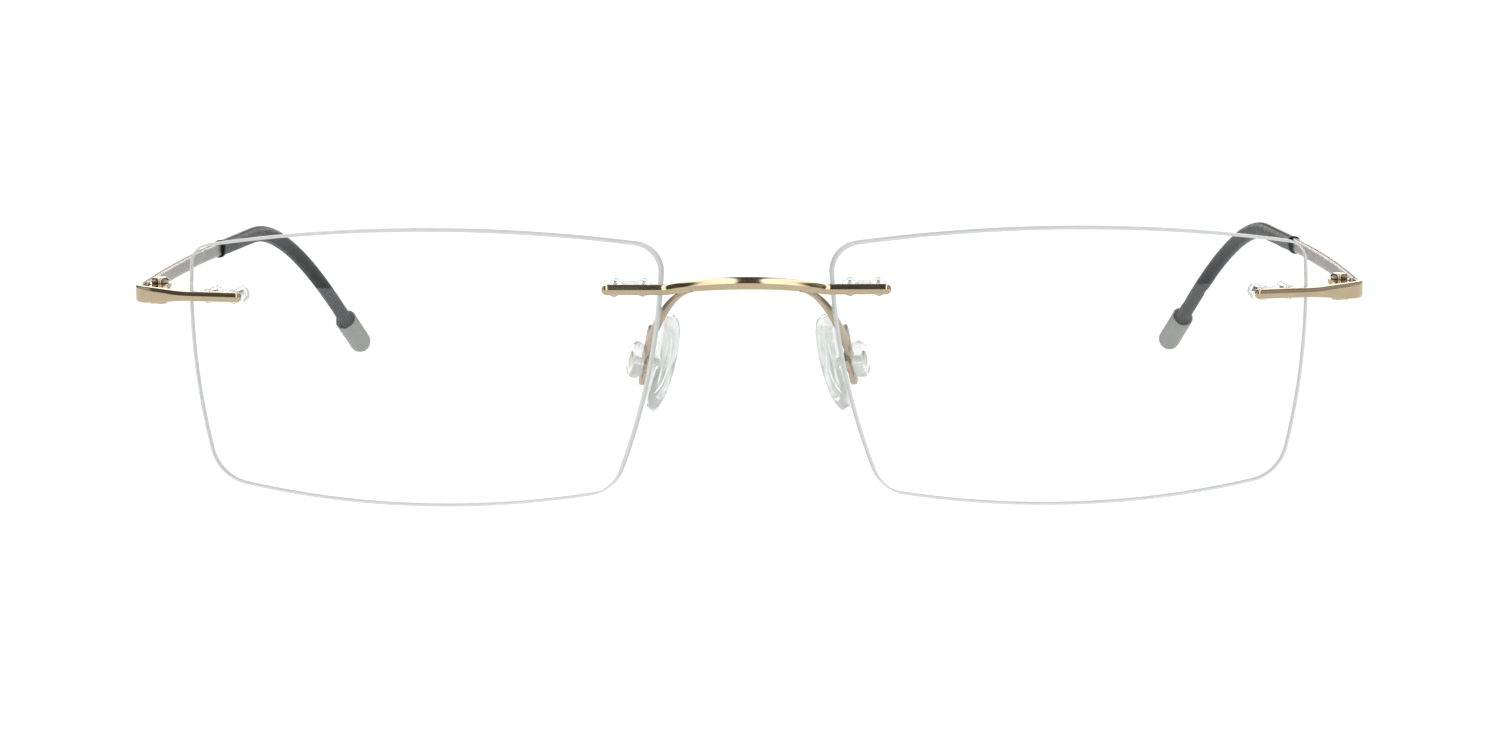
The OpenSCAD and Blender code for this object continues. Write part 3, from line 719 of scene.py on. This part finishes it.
def screw_mesh():
    """Slotted cheese head on a plain shaft."""
    top = lug_top + 0.66
    profile = [(0, lug_bottom - 0.3), (SCREW_RADIUS - 0.2, lug_bottom - 0.3),
               (SCREW_RADIUS, lug_bottom - 0.15), (SCREW_RADIUS, lug_top + 0.01),
               (1, lug_top + 0.01), (1, lug_top + 0.44), (0.82, top - 0.02), (0, top)]
    slot = block((-2, -0.15, lug_top + 0.33), (2, 0.15, lug_top + 2), 0.02,
                 axis_frame @ Matrix.Rotation(math.radians(20), 4, "Z"))
    return joined(lathe(rounded(profile, 0.09), axis_frame), [slot], "DIFFERENCE")


def washers_mesh():
    """Two thin rings between the hinge ears."""
    rings = []
    for bottom in (leaf_bottom - WASHER_GAP - WASHER_HEIGHT, leaf_top + WASHER_GAP):
        inner, outer, top = SCREW_RADIUS + 0.02, 1.15, bottom + WASHER_HEIGHT
        edge = WASHER_HEIGHT * 0.3
        profile = [(inner, bottom), (outer - edge, bottom), (outer, bottom + edge), (outer, top - edge),
                   (outer - edge, top), (inner, top)]
        rings.append(lathe(profile, axis_frame, loop=True))
    return merged(rings)


def merged(meshes):
    """Separate shells in one mesh."""
    work = bmesh.new()
    for mesh in meshes:
        work.from_mesh(mesh)
    mesh = bpy.data.meshes.new("shape")
    work.to_mesh(mesh)
    work.free()
    return mesh


def leaf_mesh():
    """Moving hinge half: knuckle, neck and the plate brazed inside the temple."""
    knuckle = drum(KNUCKLE_RADIUS - 0.05, leaf_bottom, leaf_top, 0.07, axis_frame)
    neck = block((axis.x, axis.y - 0.9, leaf_bottom),
                 (side_x - STRIP_HALF + 0.01, axis.y + 0.9, leaf_top), 0.05)
    inner = -STRIP_HALF
    plate = block((inner - 0.5, 0.35, -0.55), (inner + 0.02, 6.85, 0.15), 0.08, temple_frame)
    bead_frame = temple_frame @ Matrix.Translation((inner - 0.3, 0.42, 0))
    dome = [(0.36 * cos(a), 0.7 + 0.36 * sin(a)) for a in range(0, 90, 15)]
    bead = lathe([(0, -0.55), (0.36, -0.5)] + dome + [(0, 1.06)], bead_frame, 32)
    solid = joined(knuckle, [neck, plate, bead])
    bore = drum(SCREW_RADIUS + 0.04, leaf_bottom - 1, leaf_top + 1, 0.01, axis_frame, 32)
    return joined(solid, [bore], "DIFFERENCE")


def temple_mesh():
    """Flat spring strip with full-round edges; the broad faces take the first material."""
    half_tall, count = 0.92, 12
    straight = half_tall - STRIP_HALF
    profile = [(STRIP_HALF * math.cos(a), straight + STRIP_HALF * math.sin(a))
               for a in (math.pi * k / count for k in range(count + 1))]
    profile += [(-x, -z) for x, z in profile]
    length = SLEEVE_START + 17
    rings = []
    stations = [(0, 0.82), (0.03, 0.93), (0.1, 1), (0.4, 1)] + [(length * k / 40, 1) for k in range(1, 41)]
    for s, scale in stations:
        tangent = (temple_at(s + 0.05) - temple_at(s - 0.05)).normalized()
        side = tangent.cross(Vector((0, 0, 1))).normalized()
        up = side.cross(tangent)
        rings.append([temple_at(s) + side * x * scale + up * z * (1 - (1 - scale) * 0.4) for x, z in profile])
    n = len(profile)
    ends = [tuple(reversed(range(n))), tuple(range((len(rings) - 1) * n, len(rings) * n))]
    faces = bridge_rings(rings) + ends
    flat = (count, n - 1)
    indices = [0 if j in flat else 1 for _ in range(len(rings) - 1) for j in range(n)] + [1, 1]
    return new_mesh([p for r in rings for p in r], faces, None, indices)


def sleeve_size(s):
    """Half width and half height of the dark sleeve."""
    mouth, grow = smooth((s - SLEEVE_START) / 2.5), smooth((s - SLEEVE_START - 4) / 26)
    narrow = smooth((s - cap_mouth + 22) / 20)
    return 0.9 - 0.08 * mouth + 0.06 * grow, 1.12 - 0.12 * mouth + 0.02 * grow - 0.04 * narrow


def sleeve_mesh():
    """Moulded sleeve, open at its mouth around the strip, its end inside the cap."""
    end = cap_mouth + 4
    count, wall, depth = 36, 0.17, 1.5
    rings = []

    def ring(s, shrink):
        tangent = (temple_at(s + 0.05) - temple_at(s - 0.05)).normalized()
        side, up = sleeve_size(s)
        rings.append(section(temple_at(s), tangent, side - shrink, up - shrink, 2.2, count))

    for s, shrink in ((depth, wall), (0.6, wall), (0.12, wall), (0.03, wall * 0.8), (0, wall * 0.5),
                      (0.03, wall * 0.2), (0.12, 0), (0.5, 0), (1.2, 0), (2.2, 0)):
        ring(SLEEVE_START + s, shrink)
    start = SLEEVE_START + 2.2
    for k in range(1, 121):
        ring(start + (end - start) * k / 120, 0)
    return tube(rings)


def cap_mesh():
    """Round-ended cap with a thin rolled lip round its mouth."""
    body = CAP_LENGTH - CAP_RADIUS
    ball = [(CAP_RADIUS * cos(a), CAP_RADIUS * sin(a)) for a in range(-85, 1, 5)]
    lip = rounded([(CAP_RADIUS, body * 0.5), (CAP_RADIUS, body), (1.3, body), (1.3, body - 0.7),
                   (1.2, body - 0.72), (1.2, body - 4.2), (0, body - 4.2)], 0.09)
    return lathe([(0, -CAP_RADIUS)] + ball + lip, tip_frame, 72)


ARM_POINTS = [Vector((5.9, nasal_point.y - bar_offset - 0.15, BRIDGE_HEIGHT + 0.05)),
              Vector((8.7, -1.9, 24.2)), Vector((10.3, 4.4, 20.2)), Vector((11.95, 7.55, 15.2))]
PLATE_X, PLATE_THICK, BUTTON_X = 2.05, 0.55, 2.75


def arm_at(t):
    """Pad arm centre line, a cubic curve from the bridge to the pad's holder."""
    a, b, c, d = ARM_POINTS
    return (1 - t) ** 3 * a + 3 * t * (1 - t) ** 2 * b + 3 * t * t * (1 - t) * c + t ** 3 * d


def arm_size(t):
    """Half width and half thickness of the arm, with a wide foot at the bridge."""
    k = 24 * t
    thin, foot = smooth((k - 6) / 16), max(0, 1 - k / 6) ** 2
    return 0.52 - 0.12 * thin + 0.4 * foot, 0.3 + 0.25 * thin


def arm_mesh():
    """Pad arm brazed under the bridge, ending in the flat holder of the pad."""
    stations = [k / 60 for k in range(61)]
    wire = sweep(lambda t: arm_at(min(max(t, 0), 1)), arm_size, lambda t: 2.8, stations, 28)
    low, high = PLATE_X - PLATE_THICK / 2, PLATE_X + PLATE_THICK / 2
    edge = 0.09
    plate = drum(1.55, low, high, edge, pad_axis_frame, 56)
    tab = block((low, -0.85, -1.9), (high, 0.85, 3.3), edge, pad_frame)
    crosswise = Matrix.Rotation(math.radians(90), 4, "Y")
    ends = [drum(0.85, low, high, edge, pad_frame @ Matrix.Translation((0, 0, z)) @ crosswise, 32)
            for z in (3.3, -1.9)]
    solid = joined(wire, [plate, tab] + ends)
    bore = drum(0.86, 0, 6, 0.01, pad_axis_frame, 40)
    return joined(solid, [bore], "DIFFERENCE")


PAD_LAYERS = [(-0.8, 0), (-0.8, 0.3), (-0.785, 0.55), (-0.74, 0.76), (-0.62, 0.91), (-0.4, 0.985),
              (-0.1, 1), (0.2, 0.97), (0.42, 0.88), (0.52, 0.72), (0.56, 0.4), (0.57, 0)]


def pillow(layers, height, width, sides=40):
    """Egg-shaped pillow in the pad frame through (thickness position, outline scale) layers."""
    turn = pad_frame @ Matrix.Rotation(math.radians(-3.5), 4, "Y")
    verts, rows = [], []
    for x, scale in layers:
        count = sides if scale else 1
        rows.append([len(verts) + j for j in range(count)])
        for j in range(count):
            a = 2 * math.pi * j / sides
            z, w = height / 2 * bulge(math.sin(a), 2.7), width / 2 * bulge(math.cos(a), 2.7)
            verts.append((x + 0.012 * z * z, scale * w * (1 + 0.1 * z / height), z * (1 - (1 - scale) * 0.45))
                         if scale else (x, 0, 0))
    faces = []
    for a, b in zip(rows, rows[1:]):
        for j in range(sides):
            k = (j + 1) % sides
            faces.append(tuple(dict.fromkeys([a[j % len(a)], a[k % len(a)], b[k % len(b)], b[j % len(b)]])))
    return with_modifiers(new_mesh(verts, faces, turn), [("SUBSURF", {"levels": 1, "render_levels": 1})])


def pad_mesh():
    """Clear pillow with the round stem that goes through the holder."""
    stem = drum(0.74, 0, BUTTON_X - 0.01, 0.05, pad_axis_frame, 40)
    solid = joined(pillow(PAD_LAYERS, PAD_HEIGHT, PAD_WIDTH), [stem])
    bore = drum(0.37, 0.2, 6, 0.01, pad_axis_frame, 32)
    return joined(solid, [bore], "DIFFERENCE")


def insert_mesh():
    """Stiff oval plate moulded into the middle of the pad."""
    layers = [(-0.34, 0), (-0.34, 0.6), (-0.31, 0.93), (-0.24, 1), (-0.1, 1), (-0.03, 0.93), (0, 0.6), (0, 0)]
    return pillow(layers, PAD_HEIGHT * 0.66, PAD_WIDTH * 0.58)


def button_mesh():
    """Flat round retainer with a dished face and a hole for the core."""
    profile = [(0.37, 0), (1.95, 0), (2.1, 0.22), (2.1, 0.78), (1.8, 1.1), (0.95, 1.1),
               (0.95, 0.75), (0.37, 0.75)]
    body = rounded(profile + [profile[0]], 0.08)[:-1]
    return lathe(body, pad_axis_frame @ Matrix.Translation((0, 0, BUTTON_X)), 64, loop=True)


def core_mesh():
    """Pin with a flat head that holds pad and button together."""
    head = BUTTON_X + 0.76
    profile = [(0, 0.25), (0.36, 0.25), (0.36, head), (0.9, head), (0.9, head + 0.25), (0, head + 0.25)]
    return lathe(rounded(profile, 0.06), pad_axis_frame, 40)


add_piece("bridge_fine", bridge_mesh(), "front", "polished_gold", [polished_gold], replaces=("bridge",))
add_pair("lens", lens_mesh(), "clear_lens", [lens_clear, lens_wall, lens_chamfer], sharp=20, shadow=False)
add_pair("nasal_plug", plug_mesh(nasal_frame, NASAL_PITCH), "clear_plug", [plug_clear], shadow=False)
add_pair("temporal_plug", plug_mesh(temporal_frame, TEMPORAL_PITCH), "clear_plug", [plug_clear], shadow=False)
add_pair("end_piece", end_piece_mesh(), "polished_gold", [polished_gold], sharp=35, flats=True)
add_pair("hinge_screw", screw_mesh(), "screw_metal", [screw_gold], flats=True)
add_pair("hinge_washers", washers_mesh(), "washer_metal", [washer_steel])
add_pair("hinge_leaf", leaf_mesh(), "hinge_gold", [hinge_gold], sharp=35, flats=True)
add_pair("temple", temple_mesh(), "temple_metal", [temple_face, temple_edge], sharp=50)
add_pair("temple_sleeve", sleeve_mesh(), "dark_sleeve", [sleeve_dark], sharp=60)
add_pair("end_cap", cap_mesh(), "satin_cap", [cap_satin], sharp=50)
add_pair("pad_arm", arm_mesh(), "pad_arm_gold", [pad_arm_gold], sharp=35, flats=True)
add_pair("nose_pad", pad_mesh(), "clear_pad", [pad_clear], shadow=False)
add_pair("nose_pad", insert_mesh(), "clear_pad", [insert_clear], suffix="insert", replace=False, shadow=False)
add_pair("pad_button", button_mesh(), "clear_pad", [pad_clear], shadow=False)
add_pair("pad_core", core_mesh(), "pad_core_metal", [core_metal])

# ---------------------------------------------------------------- stage, light and camera
FLOOR_HALF = 8.0
floor_mesh = bpy.data.meshes.new("floor")
floor_corners = [(x * FLOOR_HALF, y * FLOOR_HALF, 0) for x, y in ((-1, -1), (1, -1), (1, 1), (-1, 1))]
floor_mesh.from_pydata(floor_corners, [], [(0, 1, 2, 3)])
floor = bpy.data.objects.new("floor", floor_mesh)
bpy.context.collection.objects.link(floor)
floor_white = new_material("floor_white", (0.2, 0.2, 0.2), Roughness=0.9, Emission_Strength=0.95)
floor_white.node_tree.nodes["Principled BSDF"].inputs["Emission Color"].default_value = (1, 1, 1, 1)
floor_white.node_tree.nodes["Principled BSDF"].inputs["Specular IOR Level"].default_value = 0.0
floor_mesh.materials.append(floor_white)

world = bpy.data.worlds.new("studio")
world.use_nodes = True
bpy.context.scene.world = world
nodes, links = world.node_tree.nodes, world.node_tree.links
backdrop = nodes["Background"]
place, split = nodes.new("ShaderNodeTexCoord"), nodes.new("ShaderNodeSeparateXYZ")
links.new(place.outputs["Generated"], split.inputs["Vector"])


def sums(operation, a, b):
    """Math node on two values, each a socket or a number."""
    made = nodes.new("ShaderNodeMath")
    made.operation = operation
    for socket, value in zip(made.inputs, (a, b)):
        if isinstance(value, (int, float)):
            socket.default_value = value
        else:
            links.new(value, socket)
    return made.outputs["Value"]


def profile_of(value, low, high, stops):
    """Piecewise value through (place, level) stops."""
    span, ramp = nodes.new("ShaderNodeMapRange"), nodes.new("ShaderNodeValToRGB")
    span.inputs["From Min"].default_value, span.inputs["From Max"].default_value = low, high
    links.new(value, span.inputs["Value"])
    links.new(span.outputs["Result"], ramp.inputs["Fac"])
    elements = ramp.color_ramp.elements
    while len(elements) < len(stops):
        elements.new(0.5)
    for element, (where, level) in zip(elements, stops):
        element.position, element.color = (where - low) / (high - low), (level, level, level, 1)
    return ramp.outputs["Color"]


# A sky as a level bar would mirror it: dark in the middle, a bright strip each side, and
# light high up at the back for the ends. Over is steepness, from the front up to the top.
over = sums("DIVIDE", split.outputs["Z"], sums("MAXIMUM", sums("SUBTRACT", 1, split.outputs["Y"]), 0.02))
strips = profile_of(split.outputs["X"], -1, 1,
                    [(-1, 0.25), (-0.8, 0.2), (-0.7, 0.05), (-0.33, 0.035), (-0.27, 0.85), (-0.082, 1),
                     (-0.066, 0.035), (0.066, 0.035), (0.082, 1), (0.27, 0.85), (0.33, 0.05), (0.5, 0.1),
                     (0.6, 0.2), (0.8, 0.18), (1, 0.25)])
crest = profile_of(over, 0, 5, [(0, 0), (1.6, 0), (2.6, 0.38), (5, 0.42)])
outer = profile_of(sums("ABSOLUTE", split.outputs["X"], 0), 0, 1, [(0, 0), (0.42, 0), (0.52, 1), (1, 1)])
level = sums("MAXIMUM", strips, sums("MULTIPLY", crest, outer))
backdrop.inputs["Color"].default_value = (1, 0.985, 0.96, 1)
links.new(sums("MULTIPLY", level, 2.8), backdrop.inputs["Strength"])


def add_softbox(name, azimuth, elevation, distance, width, height, power):
    """Area light aimed at the bridge; azimuth from the camera side, positive to the right."""
    light = bpy.data.lights.new(name, "AREA")
    light.shape, light.size, light.size_y, light.energy = "RECTANGLE", width, height, power
    lamp = bpy.data.objects.new(name, light)
    aim = Vector((0, cad_box[0][1], 0.02))
    towards = Vector((sin(azimuth) * cos(elevation), -cos(azimuth) * cos(elevation), sin(elevation)))
    lamp.location = aim + distance * towards
    lamp.rotation_euler = (lamp.location - aim).to_track_quat("Z", "Y").to_euler()
    lamp.visible_camera = False
    bpy.context.collection.objects.link(lamp)


add_softbox("panel_right", 60, 42, 1.1, 0.5, 0.9, 0.35)
add_softbox("panel_left", -80, 35, 1.1, 0.6, 0.8, 0.35)

CAMERA_AT = (8.924, -594.796, 81.553)
CAMERA_TILT, CAMERA_PAN, CAMERA_ROLL, CAMERA_LENS = 7.171, 0.940, -0.3, 113.768
camera_data = bpy.data.cameras.new("camera")
camera_data.sensor_width, camera_data.lens = 36, CAMERA_LENS
camera_data.clip_start, camera_data.clip_end = 0.01, 50
camera = bpy.data.objects.new("camera", camera_data)
camera.location = [v * MM for v in CAMERA_AT]
camera_frame = at((0, 0, 0), (CAMERA_PAN, "Z"), (90 - CAMERA_TILT, "X"), (CAMERA_ROLL, "Z"))
camera.rotation_euler = camera_frame.to_euler()
bpy.context.collection.objects.link(camera)
bpy.context.scene.camera = camera
bpy.context.scene.view_settings.view_transform = "Standard"
